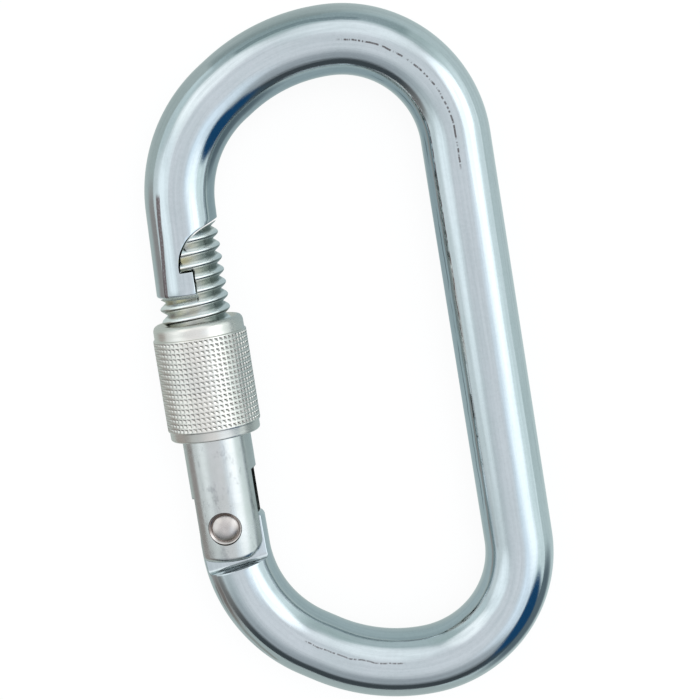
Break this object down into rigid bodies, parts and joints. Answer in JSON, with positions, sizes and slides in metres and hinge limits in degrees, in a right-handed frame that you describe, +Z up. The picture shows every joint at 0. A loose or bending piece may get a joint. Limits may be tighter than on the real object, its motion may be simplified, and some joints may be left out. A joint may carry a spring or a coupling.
{
  "type": "oval carabiner",
  "caption": "Oval steel carabiner with an inward-opening sprung gate, a claw nose and a knurled screw-lock sleeve, for joining ropes, slings and anchors.",
  "frame": {"origin": "middle of the whole object's box, in the plane of the oval", "axes": "+X from the gate towards the spine, +Y along the oval from the hinge towards the nose, +Z through the thickness; it lies flat with Z up"},
  "size_m": [0.0582, 0.112, 0.0148],
  "materials": {
    "zinc_plated_steel": "bright bluish zinc plate over drawn steel bar, with fine scratches",
    "satin_steel": "turned and zinc plated, satin, greyer on the thread",
    "sleeve_steel": "satin warm grey plate over a fine square knurl",
    "rivet_steel": "bare pinkish-grey steel, peened and smooth",
    "spring_steel": "dull drawn spring wire"
  },
  "bodies": {
    "oval_body": {"body": "zinc_plated_steel"},
    "gate": {"gate": "satin_steel", "hinge_rivet": "rivet_steel", "closing_spring": "spring_steel"},
    "sleeve": {"locking_sleeve": "sleeve_steel"},
    "plunger": {"spring_plunger": "rivet_steel"}
  },
  "joints": [
    {"name": "gate_hinge", "type": "hinge", "parent": "oval_body", "child": "gate", "pos_m": [-0.02237, -0.0225, 0], "axis": [0, 0, -1], "range_deg": [0, 24], "stiffness_Nm_per_rad": 0.5, "springref_deg": -34.38, "deforming": ["closing_spring"]},
    {"name": "sleeve_travel", "type": "slide", "parent": "gate", "child": "sleeve", "axis": [0.014, 0.9999, 0], "range_m": [0, 0.016]},
    {"name": "plunger_lift", "type": "slide", "parent": "gate", "child": "plunger", "axis": [0.014, 0.9999, 0], "range_m": [0, 0.00095]}
  ],
  "couplings": [
    {"joint": "plunger_lift", "follows": "gate_hinge", "m_per_rad": 0.0022}
  ]
}
